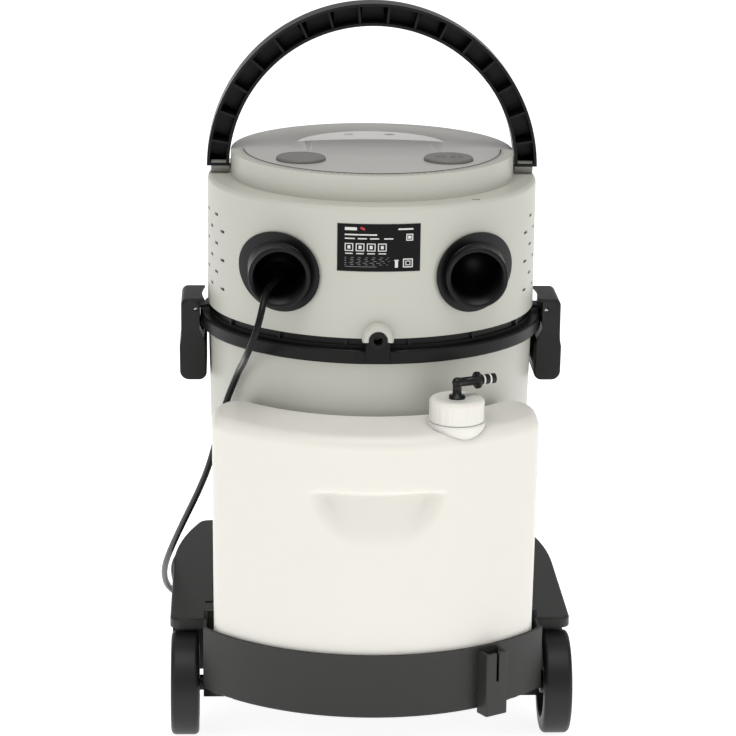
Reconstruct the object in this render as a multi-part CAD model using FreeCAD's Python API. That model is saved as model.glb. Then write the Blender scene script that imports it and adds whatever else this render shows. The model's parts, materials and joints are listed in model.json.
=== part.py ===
import FreeCAD, Part
import math
import os

# Wet and dry spray-extraction cleaner: a wheeled trolley carries a round recovery tank with a
# motor head latched on top, and a crescent-shaped solution tank stands in a tray behind it.
# Millimetres. Machine axis on x = y = 0, floor at z = 0, the tank and the two hose ports face -Y.

V = FreeCAD.Vector
X = V(1, 0, 0)
Y = V(0, 1, 0)
Z = V(0, 0, 1)

# ---- driving dimensions -------------------------------------------------------------------
# round recovery tank
tank_top_r = 169.5
tank_foot_r = 161.0
tank_wall = 3.0
tank_foot_z = 74.0
tank_rim_z = 428.0
seat_gap = 1.0
# clamping ring round the tank rim
ring_proud = 8.5
ring_band_h = 14.0
ring_lip_h = 3.0
ring_lip_w = 11.0
ring_gap = 0.5
boss_r = 9.0
boss_bore_r = 4.5
boss_rise = 11.0
boss_depth = 14.0
gasket_h = 3.0
gasket_w = 8.0
# motor head
head_over_tank = 0.5
head_wall = 3.0
head_skirt_gap = 10.5
head_h = 133.5
shoulder_round = 5.0
cover_set_in = 24.0
cover_wall = 3.0
cover_h = 26.0
rim_w = 13.0
plate_t = 3.0
plate_gap = 0.3
deck_t = 4.0
base_wall_h = 21.0
rib_angle_first = 10.8
rib_angle_step = 24.6
# hose ports
port_x = 98.0
port_below_shoulder = 72.0
port_outer_r = 31.0
port_bore_r = 26.5
port_set_back = 2.0
port_deep = 72.0
port_flange_r = 40.0
port_flange_t = 3.5
# vents, label and small marks
vent_first_deg = 65.5
vent_step_deg = 5.5
vent_columns = 7
vent_rows = 3
vent_pitch = 30.0
vent_w = 10.0
vent_h = 3.0
label_half_deg = 14.0
label_below_shoulder = 17.0
label_tall = 48.0
label_t = 0.4
# carrying handle
handle_gap = 2.0
handle_deep = 23.0
handle_wide = 32.0
handle_back_y = -6.5
handle_skin = 3.0
handle_ribs = 16
handle_rib_step = 10.7
handle_rib_t = 2.4
hub_r = 6.5
hub_short = 4.5
pivot_above_shoulder = 7.0
pin_r = 3.0
running_gap = 0.05
# foot switches and status panel
switch_x = 75.0
switch_y = -60.0
switch_r = 25.0
switch_gap = 0.4
switch_proud = 3.0
switch_travel = 4.0
switch_stem_r = 5.0
# motor
shaft_r = 6.0
bearing_gap = 0.02
# side latches
latch_half_y = 32.0
latch_pin_out = 5.0
latch_pin_above_rim = 9.0
latch_pin_r = 2.5
latch_lug_half = 13.0
latch_hook_gap = 6.0
# front suction inlet
inlet_z = 330.0
inlet_bore_r = 19.0
inlet_outer_r = 22.5
inlet_out = 22.5
# trolley
base_wall = 4.0
deck_z = 123.0
deck_edge = 11.0
deck_beyond_tank = 39.5
deck_rear_y = -104.0
deck_front_y = 240.0
deck_nose_x = 180.0
deck_side_y = 80.0
tray_beyond_tank = 53.5
tray_y = -17.0
tray_side = 4.5
tray_low_z = 66.0
tray_high_z = 132.0
# wheels
wheel_r = 54.0
wheel_wide = 29.0
wheel_set_in = 1.4
wheel_y = -107.0
tyre_t = 12.0
axle_r = 4.0
axle_clear = 0.05
caster_x = 140.0
caster_y = 150.0
caster_r = 30.0
caster_wide = 22.0
caster_trail = 18.0
stem_r = 5.0
# crescent solution tank
sol_gap = 1.0
sol_side_gap = 9.0
sol_top_z = 361.0
sol_front_y = -112.0
sol_drum_gap = 2.5
sol_wall = 2.5
tray_floor = 8.0
sol_draft = 4.0
sol_corner = 27.0
sol_tip_corner = 8.0
sol_edge = 7.0
grip_half_x = 62.0
grip_top_z = 300.0
grip_low_z = 252.0
grip_deep = 20.0
cap_x = 78.0
cap_from_drum = 27.5
cap_r = 27.5
cap_h = 28.0
cap_pad_h = 4.0
cap_round = 4.5
cap_grooves = 24
elbow_swing = 24.0
neck_r = 22.0
neck_h = 18.0
# mains lead
cord_r = 3.5
coil_x = -145.0
coil_y = 443.0
coil_mid_r = 42.0
coil_half_w = 14.0
coil_h = 28.0

# ---- sizes that follow from them ------------------------------------------------------------
head_r = tank_top_r + head_over_tank
cover_r = head_r - cover_set_in
handle_in_r = cover_r + handle_gap
handle_out_r = handle_in_r + handle_deep
hub_out_x = handle_out_r - hub_short
port_mouth_y = port_set_back - head_r
port_back_y = port_mouth_y + port_deep
inlet_mouth_y = tank_top_r + inlet_out
deck_half_x = tank_top_r + deck_beyond_tank
tray_r = tank_top_r + tray_beyond_tank
tray_half_x = tank_top_r + tray_side
wheel_out_x = deck_half_x - wheel_set_in
sol_half_x = tray_half_x - sol_side_gap
cap_y = -tank_top_r - cap_from_drum
cap_low_z = sol_top_z + cap_pad_h + 1.0
ring_r = tank_top_r + ring_proud
ring_top_z = tank_rim_z + ring_lip_h
ring_low_z = ring_top_z - ring_band_h
ring_in_r = tank_top_r + ring_gap
gasket_top_z = ring_top_z + gasket_h
head_low_z = ring_top_z + head_skirt_gap
shoulder_z = head_low_z + head_h
cover_top_z = shoulder_z + cover_h
port_z = shoulder_z - port_below_shoulder
label_high = shoulder_z - label_below_shoulder
label_low = label_high - label_tall
boss_z = ring_top_z + boss_rise
latch_pin_x = ring_r + latch_pin_out
latch_pin_z = tank_rim_z + latch_pin_above_rim
base_r = head_r - head_wall - 1.0
pivot_z = shoulder_z + pivot_above_shoulder
arch_z = pivot_z - 1.0
tank_taper = (tank_top_r - tank_foot_r) / (tank_rim_z - tank_foot_z)
cup_r = tank_foot_r + tank_taper * (deck_z - tank_foot_z) + seat_gap
cup_out_r = cup_r + base_wall
cup_low_z = tank_foot_z - base_wall
sol_low_z = tray_low_z + tray_floor + 0.3
cord_out = V(-port_x, -128.0, port_z - 8.0)

made = {}


def save(name, shape):
    made[name] = shape
    shape.exportStep("parts/" + name + ".step")


def disc(r, low, high, x=0.0, y=0.0):
    return Part.makeCylinder(r, high - low, V(x, y, low), Z)


def ring(r_in, r_out, low, high, x=0.0, y=0.0):
    return disc(r_out, low, high, x, y).cut(disc(r_in, low - 1, high + 1, x, y))


def rod_x(r, x0, x1, y, z):
    return Part.makeCylinder(r, x1 - x0, V(x0, y, z), X)


def rod_y(r, y0, y1, x, z):
    return Part.makeCylinder(r, y1 - y0, V(x, y0, z), Y)


def block(x0, x1, y0, y1, z0, z1):
    return Part.makeBox(x1 - x0, y1 - y0, z1 - z0, V(x0, y0, z0))


def turned(points):
    """Solid of revolution about the machine axis from (radius, height) points."""
    wire = Part.makePolygon([V(r, 0, h) for r, h in points + points[:1]])
    return Part.Face(wire).revolve(V(0, 0, 0), Z, 360)


def mirrored(shape):
    return shape.mirror(V(0, 0, 0), X)


def about_axis(shape, degrees, x=0.0, y=0.0):
    copy = shape.copy()
    copy.rotate(V(x, y, 0), Z, degrees)
    return copy


def fillet_where(shape, radius, test):
    edges = [edge for edge in shape.Edges if test(edge)]
    return shape.makeFillet(radius, edges) if edges else shape


def level(edge, z):
    box = edge.BoundBox
    return abs(box.ZMin - z) < 0.01 and abs(box.ZMax - z) < 0.01


def upright(edge):
    box = edge.BoundBox
    return box.ZLength > 1 and box.XLength < 0.01 and box.YLength < 0.01


# ---- trolley ----------------------------------------------------------------------------------
def deck_outline():
    """Plan of the deck: straight rear edge, sides that bend in tangentially, rounded nose."""
    hx = deck_half_x
    corner = V(deck_nose_x, deck_front_y - 12, 0)
    step_x = hx - corner.x
    step_y = corner.y - deck_side_y
    bend_r = (step_x ** 2 + step_y ** 2) / (2 * step_x)
    half_turn = math.asin(step_y / bend_r) / 2
    mid = V(hx - bend_r * (1 - math.cos(half_turn)), deck_side_y + bend_r * math.sin(half_turn), 0)
    right = Part.Arc(V(hx, deck_side_y, 0), mid, corner).toShape()
    nose = Part.Arc(corner, V(0, deck_front_y, 0), V(-corner.x, corner.y, 0)).toShape()
    left = Part.Arc(V(-corner.x, corner.y, 0), V(-mid.x, mid.y, 0), V(-hx, deck_side_y, 0)).toShape()
    side_l = Part.makeLine(V(-hx, deck_side_y, 0), V(-hx, deck_rear_y, 0))
    rear = Part.makeLine(V(-hx, deck_rear_y, 0), V(hx, deck_rear_y, 0))
    side_r = Part.makeLine(V(hx, deck_rear_y, 0), V(hx, deck_side_y, 0))
    return Part.Wire([right, nose, left, side_l, rear, side_r])


def deck_prism(low, high, inset=0.0):
    face = Part.Face(deck_outline())
    if inset:
        face = Part.Face(face.makeOffset2D(-inset).Wires[0])
    face.translate(V(0, 0, low))
    return face.extrude(V(0, 0, high - low))


def tray_prism(low, high, inset=0.0):
    round_part = disc(tray_r - inset, low, high, 0, tray_y)
    half = tray_half_x - inset
    return round_part.common(block(-half, half, -400, deck_rear_y + base_wall - inset, low, high))


def trolley_base():
    deck_low = deck_z - deck_edge
    deck = deck_prism(deck_low, deck_z)
    deck = fillet_where(deck, 12, upright)
    deck = fillet_where(deck, 2.5, lambda e: level(e, deck_z))
    deck = deck.cut(deck_prism(deck_low - 1, deck_z - base_wall, base_wall))
    ribs = []
    for k in range(12):
        rib = block(cup_r + 1, 320, -1.5, 1.5, deck_low + 1, deck_z - base_wall)
        rib = about_axis(rib, 30 * k + 15).common(deck_prism(deck_low, deck_z - base_wall, 2.0))
        ribs.append(rib)
    cup = disc(cup_out_r, cup_low_z, deck_z)
    tray = tray_prism(tray_low_z, tray_high_z)
    tray = fillet_where(tray, 2.0, lambda e: level(e, tray_low_z))
    body = deck.fuse([cup, tray] + ribs)
    for side in (-1, 1):
        x0, x1 = sorted((side * (tray_half_x - 21), side * tray_half_x))
        body = body.fuse(block(x0, x1, wheel_y - 18, wheel_y + 18, 45, tray_low_z + base_wall))
        body = body.fuse(disc(14, deck_low - 14, deck_z - base_wall, side * caster_x, caster_y))
    body = body.cut(tray_prism(tray_low_z + tray_floor, tray_high_z + 5, base_wall).cut(
        disc(cup_out_r, 0, tray_high_z + 6)))
    body = body.cut(block(-300, 300, -152, deck_rear_y + base_wall + 1, deck_z, tray_high_z + 1).cut(
        disc(tray_r - 30, 0, 400, 0, tray_y)))
    body = body.cut(disc(cup_r, tank_foot_z, 200))
    body = body.cut(rod_x(axle_r + axle_clear, -300, 300, wheel_y, wheel_r))
    for side in (-1, 1):
        socket = disc(stem_r + axle_clear, deck_low - 15, deck_z - base_wall - 2, side * caster_x, caster_y)
        body = body.cut(socket)
        body = body.cut(block(side * 168 - 5, side * 168 + 5, -54, -49, deck_z - 8, deck_z + 1).cut(
            disc(cup_out_r, 0, 200)))
    return body


def accessory_clip():
    """U-shaped holder on the tray wall with a slotted face and an open top pocket."""
    low = tray_low_z - 4
    high = tray_high_z - 4
    out = 16.0
    body = block(-13, 13, tray_y - tray_r - out, tray_y - tray_r + 6, low, high)
    body = fillet_where(body, 2.0, lambda e: upright(e) and e.BoundBox.YMax < tray_y - tray_r)
    body = body.cut(block(-10, 10, tray_y - tray_r - out + 3, tray_y - tray_r - 2, low + 5, high + 1))
    body = body.cut(block(-1.6, 1.6, tray_y - tray_r - out - 1, tray_y - tray_r - 5, high - 30, high + 1))
    flare = Part.makeCone(1.6, 6.0, 7, V(0, tray_y - tray_r - out / 2, high - 6), Z)
    body = body.cut(flare.common(block(-8, 8, -400, tray_y - tray_r - 4, 0, 400)))
    body = about_axis(body, 31, 0, tray_y)
    return body.cut(disc(tray_r, 0, 400, 0, tray_y))


def running_gear():
    axle = rod_x(axle_r, -wheel_out_x + 4, wheel_out_x - 4, wheel_y, wheel_r)
    save("rear_axle", axle)
    caps = []
    for side, name in ((-1, "left"), (1, "right")):
        inner = side * (wheel_out_x - wheel_wide)
        outer = side * wheel_out_x
        x0, x1 = sorted((inner, outer))
        tyre = rod_x(wheel_r, x0, x1, wheel_y, wheel_r)
        tyre = fillet_where(tyre, 5.0, lambda e: e.BoundBox.XLength < 0.01)
        tyre = tyre.cut(rod_x(wheel_r - tyre_t, x0 - 1, x1 + 1, wheel_y, wheel_r))
        save("rear_tyre_" + name, tyre)
        hub = rod_x(wheel_r - tyre_t, x0, x1, wheel_y, wheel_r)
        for end, far in ((x0, 9), (x1 - 9, 9)):
            web = rod_x(wheel_r - tyre_t - 4, end - 1, end + far + 1, wheel_y, wheel_r)
            web = web.cut(rod_x(12, end - 2, end + far + 2, wheel_y, wheel_r))
            hub = hub.cut(web)
        cap_seat = side * (wheel_out_x - 6)
        s0, s1 = sorted((cap_seat, outer + side))
        hub = hub.cut(rod_x(9, s0, s1, wheel_y, wheel_r))
        hub = hub.cut(rod_x(axle_r + axle_clear, x0 - 1, x1 + 1, wheel_y, wheel_r))
        for k in range(5):
            hole = rod_x(8, x0 - 1, x1 + 1, wheel_y, wheel_r + 26)
            hole.rotate(V(0, wheel_y, wheel_r), X, 72 * k)
            hub = hub.cut(hole)
        save("rear_hub_" + name, hub)
        c0, c1 = sorted((side * (wheel_out_x - 5.6), side * (wheel_out_x - 1.5)))
        push = rod_x(8, c0, c1, wheel_y, wheel_r)
        b0, b1 = sorted((side * (wheel_out_x - 6), side * (wheel_out_x - 4)))
        caps.append(push.cut(rod_x(axle_r, b0, b1, wheel_y, wheel_r)))
        washer_out = inner - side * 0.4
        w0, w1 = sorted((side * tray_half_x, washer_out))
        caps.append(rod_x(8, w0, w1, wheel_y, wheel_r).cut(rod_x(axle_r, w0 - 1, w1 + 1, wheel_y, wheel_r)))
    save("axle_retainers", Part.makeCompound(caps))


def casters():
    deck_low = deck_z - deck_edge
    crown_z = deck_low - 14.6
    for side, name in ((-1, "left"), (1, "right")):
        x = side * caster_x
        wheel_y0 = caster_y - caster_trail
        half = caster_wide / 2 + 1.0
        stem = disc(stem_r, crown_z - 4, deck_z - base_wall - 4, x, caster_y)
        crown = disc(18, crown_z - 10, crown_z, x, caster_y)
        cheeks = block(x - half - 3, x + half + 3, wheel_y0 - 11, wheel_y0 + 11, caster_r - 11, crown_z)
        crown = block(x - half - 3, x + half + 3, wheel_y0, caster_y + 6, caster_r + 24, crown_z)
        cheeks = cheeks.fuse(crown)
        slot = block(x - half, x + half, wheel_y0 - 60, caster_y + 60, 0, caster_r + caster_r + 3)
        fork = stem.fuse([crown, cheeks]).cut(slot)
        pin_hole = rod_x(3.0, x - half - 4, x + half + 4, wheel_y0, caster_r)
        save("caster_fork_" + name, fork.cut(pin_hole))
        save("caster_pin_" + name, rod_x(3.0, x - half - 4, x + half + 4, wheel_y0, caster_r))
        roll = rod_x(caster_r, x - caster_wide / 2, x + caster_wide / 2, wheel_y0, caster_r)
        roll = fillet_where(roll, 4.0, lambda e: e.BoundBox.XLength < 0.01)
        roll = roll.cut(rod_x(3.0 + axle_clear, x - 30, x + 30, wheel_y0, caster_r))
        save("caster_wheel_" + name, roll)


# ---- recovery tank ------------------------------------------------------------------------------
def recovery_tank():
    w = tank_wall
    body = turned([(0, tank_foot_z), (tank_foot_r, tank_foot_z), (tank_top_r, tank_rim_z),
                   (tank_top_r - w, tank_rim_z), (tank_foot_r - w, tank_foot_z + w), (0, tank_foot_z + w)])
    return body.cut(rod_y(inlet_outer_r, 100, tank_top_r + 30.5, 0, inlet_z))


def tank_ring():
    body = turned([(ring_in_r, ring_low_z), (ring_r - 1.5, ring_low_z), (ring_r, ring_low_z + 1.5),
                   (ring_r, ring_top_z - 1.5), (ring_r - 1.5, ring_top_z),
                   (ring_in_r - ring_lip_w, ring_top_z), (ring_in_r - ring_lip_w, tank_rim_z),
                   (ring_in_r, tank_rim_z)])
    front = -ring_r - 4
    boss = rod_y(boss_r, front, front + boss_depth, 0, boss_z)
    tab = block(-12.5, 12.5, front + 2, front + boss_depth, ring_low_z + 2, boss_z - 2)
    tab = fillet_where(tab, 1.5, lambda e: upright(e) and e.BoundBox.YMax < front + 3)
    tab = tab.cut(disc(ring_in_r, 0, tank_rim_z + 0.5 * ring_lip_h))
    body = body.fuse([boss, tab])
    return body.cut(rod_y(boss_bore_r, front - 1, front + boss_depth + 1, 0, boss_z))


inlet_screw_places = [(sx * 20, inlet_z + sz * 20) for sx in (-1, 1) for sz in (-1, 1)]
screw_seat_y = tank_top_r - 0.5


def suction_inlet():
    """Front hose socket: a tube through the tank wall with a saddle flange outside."""
    wall_r = tank_foot_r + tank_taper * (inlet_z - tank_foot_z)
    seat = Part.makeCone(wall_r - tank_taper * 60, wall_r + tank_taper * 60, 120, V(0, 0, inlet_z - 60), Z)
    flange = rod_y(34, 80, tank_top_r + 30.5, 0, inlet_z).common(disc(wall_r + 5, inlet_z - 50, inlet_z + 50)).cut(seat)
    tube = rod_y(inlet_outer_r, wall_r - 22, inlet_mouth_y, 0, inlet_z)
    lip = rod_y(inlet_outer_r + 2.5, inlet_mouth_y - 6, inlet_mouth_y, 0, inlet_z)
    body = flange.fuse([tube, lip])
    for x, z in inlet_screw_places:
        body = body.cut(rod_y(3.0, screw_seat_y, screw_seat_y + 31, x, z))
    return body.cut(rod_y(inlet_bore_r, 100, inlet_mouth_y + 1, 0, inlet_z))


def inlet_deflector():
    """Hood inside the tank that throws the incoming water down."""
    back = inlet_mouth_y - 62
    body = block(-30, 30, back - 42, back, inlet_z - 50, inlet_z + 30)
    body = fillet_where(body, 8, lambda e: level(e, inlet_z + 30))
    body = body.cut(block(-27, 27, back - 39, back - 3, inlet_z - 51, inlet_z + 27))
    return body.cut(rod_y(inlet_outer_r, back - 10, back + 30, 0, inlet_z))


# ---- motor head ---------------------------------------------------------------------------------
def head_base():
    """Black under-deck of the head with the latch lugs and the ribs seen in the open channel."""
    low = gasket_top_z
    body = turned([(42, low), (base_r, low), (base_r, low + base_wall_h), (base_r - 3, low + base_wall_h),
                   (base_r - 3, low + deck_t), (42, low + deck_t)])
    ribs = []
    for k in range(7):
        for side in (-1, 1):
            rib = block(base_r - 1, head_r - 1, -1.5, 1.5, low + 0.3, head_low_z - 0.3)
            ribs.append(about_axis(rib, -90 + side * (rib_angle_first + rib_angle_step * k)))
    body = body.fuse(ribs)
    eye_r = 4.0
    for side in (-1, 1):
        x0, x1 = sorted((side * (base_r - 2), side * latch_pin_x))
        lug = block(x0, x1, -latch_lug_half, latch_lug_half, low + 0.2, latch_pin_z - 1)
        eye = rod_y(eye_r, -latch_lug_half, latch_lug_half, side * latch_pin_x, latch_pin_z)
        body = body.fuse([lug, eye])
        body = body.cut(rod_y(latch_pin_r, -40, 40, side * latch_pin_x, latch_pin_z))
    return body.cut(rod_y(boss_bore_r, -200, -100, 0, boss_z))


def ports_cutter(extra):
    tubes = []
    for side in (-1, 1):
        tubes.append(rod_y(port_outer_r + extra, -200, port_back_y + 30, side * port_x, port_z))
    return tubes[0].fuse(tubes[1])


def head_shell():
    w = head_wall
    in_r = cover_r - 6
    body = disc(head_r, head_low_z, shoulder_z)
    body = fillet_where(body, shoulder_round, lambda e: level(e, shoulder_z))
    body = body.cut(disc(head_r - w, head_low_z - 1, shoulder_z - w))
    body = body.cut(disc(in_r, head_low_z, shoulder_z + 1))
    body = body.cut(ports_cutter(0.0))
    notch = rod_y(boss_r + 4.5, -200, -100, 0, boss_z)
    trim = rod_y(boss_r + 7, -head_r - 2, -head_r + 4, 0, boss_z)
    trim = trim.cut(block(-30, 30, -head_r - 10, 0, 0, head_low_z))
    body = body.fuse(trim).cut(notch)
    for column in range(vent_columns):
        offset = vent_pitch / 2 if column % 2 else 0.0
        for row in range(vent_rows):
            z = shoulder_z - 47 + offset - vent_pitch * row
            slot = block(-vent_w / 2, vent_w / 2, -head_r - 5, -head_r + 8, z - vent_h / 2, z + vent_h / 2)
            slot = fillet_where(slot, vent_h / 2 - 0.1, lambda e: e.BoundBox.YLength > 5)
            angle = vent_first_deg + vent_step_deg * column
            body = body.cut(about_axis(slot, angle)).cut(about_axis(slot, -angle))
    return body.cut(block(94, 102, -133, -129, shoulder_z - w - 1, shoulder_z + 1))


def exhaust_port(side):
    x = side * port_x
    tube = rod_y(port_outer_r, port_mouth_y, port_back_y, x, port_z)
    tube = fillet_where(tube, 1.8, lambda e: abs(e.BoundBox.YMax - port_mouth_y) < 0.01)
    flange = rod_y(port_flange_r, -200, -60, x, port_z).common(disc(head_r + port_flange_t, 300, 600))
    flange = flange.cut(disc(head_r, 200, 700))
    body = tube.fuse(flange)
    body = body.cut(rod_y(port_bore_r, port_mouth_y - 1, port_back_y - 3, x, port_z))
    window = block(x - 20, x + 20, port_back_y - 26, port_back_y - 6, port_z + 10, port_z + 60)
    return body.cut(window)


def rating_label():
    body = ring(head_r, head_r + label_t, label_low, label_high)
    width = head_r * math.sin(math.radians(label_half_deg))
    return body.common(block(-width, width, -300, 0, 0, 700))


def top_cover():
    """Light upper drum: side wall, inner ledge under the plate, raised rim round the rear half."""
    ledge_z = cover_top_z - plate_t
    body = turned([(cover_r - cover_wall, shoulder_z), (cover_r, shoulder_z), (cover_r, cover_top_z),
                   (cover_r - rim_w, cover_top_z), (cover_r - rim_w, ledge_z - 4),
                   (cover_r - cover_wall, ledge_z - 4)])
    front = block(-200, 200, 0, 200, ledge_z, 700)
    body = body.cut(front)
    body = body.cut(disc(cover_r - rim_w - 6, ledge_z - 5, ledge_z))
    ledge = ring(cover_r - rim_w - 5, cover_r - 1, ledge_z - 4, ledge_z)
    body = body.fuse(ledge)
    for side in (-1, 1):
        x0, x1 = sorted((side * (cover_r - 14), side * (cover_r - 1)))
        body = body.fuse(rod_x(7, x0, x1, 0, pivot_z + 1))
    return body.cut(rod_x(pin_r, -200, 200, 0, pivot_z))


def plate_prism(low, high):
    rear = disc(cover_r - rim_w - plate_gap, low, high)
    front = disc(cover_r, low, high).common(block(-200, 200, 0, 200, 0, 700))
    return rear.fuse(front).removeSplitter()


def crescent_prism(low, high, grow=0.0):
    """Lens between a tight upper arc and a flatter lower one."""
    half = 77.0 + grow
    wire = Part.Wire([Part.Arc(V(-half, 36, low), V(0, 93 + grow, low), V(half, 36, low)).toShape(),
                      Part.Arc(V(half, 36, low), V(0, 49 - grow, low), V(-half, 36, low)).toShape()])
    return Part.Face(wire).extrude(V(0, 0, high - low))


def top_plate():
    body = plate_prism(cover_top_z - plate_t, cover_top_z)
    body = fillet_where(body, 0.8, lambda e: level(e, cover_top_z))
    for side in (-1, 1):
        body = body.cut(disc(switch_r + switch_gap, 500, 700, side * switch_x, switch_y))
    return body.cut(crescent_prism(cover_top_z - 1.2, cover_top_z + 1, 0.6))


def foot_switches():
    carrier_z = shoulder_z + 2
    carrier = disc(cover_r - cover_wall - 1, carrier_z, carrier_z + 3).common(
        block(-130, 130, switch_y - 36, switch_y + 36, 0, 700))
    modules = []
    for side, name in ((-1, "left"), (1, "right")):
        x = side * switch_x
        low = cover_top_z + switch_proud - 8
        cap = disc(switch_r, low, cover_top_z + switch_proud, x, switch_y)
        cap = fillet_where(cap, 1.2, lambda e: level(e, cover_top_z + switch_proud))
        stem = disc(switch_stem_r, carrier_z + 3 + 5.5 + switch_travel, low, x, switch_y)
        save("foot_switch_" + name, cap.fuse(stem))
        modules.append(block(x - 7, x + 7, switch_y - 7, switch_y + 7, carrier_z + 3, carrier_z + 7))
        sleeve = []
        for k in range(5):
            z0 = carrier_z + 3
            pitch = (low - z0) / 5.0
            sleeve += [(11.0, z0 + pitch * k), (13.5, z0 + pitch * (k + 0.5))]
        top = [(11.0, low)]
        outer = sleeve + top
        inner = [(r - 1.0, z) for r, z in reversed(outer)]
        spring = turned(outer + inner)
        spring.translate(V(x, switch_y, 0))
        save("switch_spring_" + name, spring)
    save("switch_carrier", carrier)
    save("switch_modules", Part.makeCompound(modules))


# ---- handle ---------------------------------------------------------------------------------------
def half_arch(r_in, r_out, y0, y1, low):
    body = Part.makeCylinder(r_out, y1 - y0, V(0, y0, arch_z), Y)
    body = body.cut(Part.makeCylinder(r_in, y1 - y0 + 2, V(0, y0 - 1, arch_z), Y))
    return body.common(block(-300, 300, y0 - 1, y1 + 1, low, 900))


def handle():
    """Half-ring channel, open at the back and stiffened by cross ribs."""
    y0 = handle_back_y
    y1 = handle_back_y + handle_wide
    low = pivot_z - hub_r + 8
    body = half_arch(handle_in_r, handle_out_r, y0, y1, low)
    body = fillet_where(body, 3.0, lambda e: abs(e.BoundBox.YMin - y1) < 0.01 and e.Length > 200)
    skin = handle_skin
    core = half_arch(handle_in_r + skin, handle_out_r - skin, y0 - 1, y1 - skin, low + 3)
    ribs = []
    for k in range(handle_ribs):
        angle = (k - (handle_ribs - 1) / 2.0) * handle_rib_step
        thick = handle_rib_t / 2
        rib = block(-thick, thick, y0 + 2, y1, arch_z + handle_in_r, arch_z + handle_out_r)
        rib.rotate(V(0, 0, arch_z), Y, angle)
        ribs.append(rib)
    core = core.cut(Part.makeCompound(ribs))
    body = body.cut(core)
    for side in (-1, 1):
        x0, x1 = sorted((side * handle_in_r, side * hub_out_x))
        body = body.cut(rod_x(hub_r, x0 - 1, x1 + 1, 0, pivot_z))
    return body


def handle_fittings():
    hubs = []
    pins = []
    for side in (-1, 1):
        x0, x1 = sorted((side * handle_in_r, side * hub_out_x))
        bore = rod_x(pin_r + running_gap, x0 - 1, x1 + 1, 0, pivot_z)
        hubs.append(rod_x(hub_r, x0, x1, 0, pivot_z).cut(bore))
        p0, p1 = sorted((side * (cover_r - 13), side * (hub_out_x - 1)))
        pins.append(rod_x(pin_r, p0, p1, 0, pivot_z))
    save("handle_hubs", Part.makeCompound(hubs))
    save("handle_pins", Part.makeCompound(pins))


# ---- latches --------------------------------------------------------------------------------------
def latch_lever():
    """Right-hand lever: hooked under the ring, hinged on the head's lug, bowed outwards."""
    z = latch_pin_z
    x = latch_pin_x
    def at(across, up):
        return V(x + across, 0, z + up)

    edges = [Part.makeLine(at(-12, 11), at(7.5, 11)),
             Part.Arc(at(7.5, 11), at(12.7, 9), at(14.7, 4)).toShape(),
             Part.makeLine(at(14.7, 4), at(14.7, -26)),
             Part.Arc(at(14.7, -26), at(15.1, -33), at(16.3, -40)).toShape(),
             Part.makeLine(at(16.3, -40), at(16, -66)),
             Part.Arc(at(16, -66), at(13.4, -73), at(7, -76)).toShape(),
             Part.makeLine(at(7, -76), at(-4, -76)),
             Part.Arc(at(-4, -76), at(-10, -73.2), at(-12, -67)).toShape(),
             Part.makeLine(at(-12, -67), at(-12, -40)),
             Part.makeLine(at(-12, -40), at(-4.5, -21)),
             Part.makeLine(at(-4.5, -21), at(-4.5, 8)),
             Part.makeLine(at(-4.5, 8), at(-12, 8)),
             Part.makeLine(at(-12, 8), at(-12, 11))]
    body = Part.Face(Part.Wire(edges)).extrude(V(0, 2 * latch_half_y, 0))
    body.translate(V(0, -latch_half_y, 0))
    body = fillet_where(body, 2.5, lambda e: e.BoundBox.YLength < 0.01 and e.BoundBox.XMin > x + 1)
    hollow = block(x - 20, x + 9, -latch_half_y + 6, latch_half_y - 6, z - 60, z - 33)
    hollow = fillet_where(hollow, 4.0, lambda e: e.BoundBox.YLength > 20)
    body = body.cut(hollow).cut(disc(head_r + latch_hook_gap, z + 7, z + 12))
    gap = latch_lug_half + 0.6
    body = body.cut(block(x - 10, x + 8, -gap, gap, z - 32, z + 7.5))
    return body.cut(rod_y(latch_pin_r + running_gap, -40, 40, x, z))


def latches():
    lever = latch_lever()
    reach = latch_half_y - 2
    pin = rod_y(latch_pin_r, -reach, reach, latch_pin_x, latch_pin_z)
    save("latch_right", lever)
    save("latch_left", mirrored(lever))
    save("latch_pins", Part.makeCompound([pin, mirrored(pin)]))


# ---- inside the head --------------------------------------------------------------------------------
def power_unit():
    low = gasket_top_z + deck_t
    fan = ring(71, 74, low + 4, low + 32).fuse(ring(30, 74, low + 4, low + 6))
    fan = fan.fuse(ring(20, 74, low + 30, low + 32))
    save("fan_housing", fan)
    can = ring(44, 60, low + 32, low + 96).fuse(ring(14, 60, low + 92, low + 96))
    save("suction_motor", can)
    save("motor_bearings", Part.makeCompound([ring(shaft_r + bearing_gap, 14, low + 88, low + 96),
                                              ring(shaft_r + bearing_gap, 20, low + 30, low + 36)]))
    vanes = []
    for k in range(8):
        vane = block(9, 64, -1, 1, low + 9, low + 24)
        vanes.append(about_axis(vane, 45 * k))
    wheel = disc(66, low + 8, low + 10).fuse(vanes + [disc(12, low + 8, low + 26)])
    wheel = wheel.cut(disc(shaft_r, low, low + 40))
    save("impeller", wheel)
    save("rotor", disc(shaft_r, low + 8, low + 98).fuse(disc(40, low + 42, low + 80)))
    pump = block(84, 124, 20, 70, low, low + 50)
    pump = fillet_where(pump, 5, upright)
    pump = pump.fuse(rod_y(5.5, 0, 20, 104, boss_z + 4))
    save("solution_pump", pump)
    route = [V(0, -base_r + 3, boss_z), V(0, -140, boss_z), V(25, -118, boss_z + 2), V(70, -100, boss_z + 4),
             V(104, -62, boss_z + 4), V(104, 0, boss_z + 4)]
    save("pump_hose", rounded_tube(route, 3.5)[0])


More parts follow.
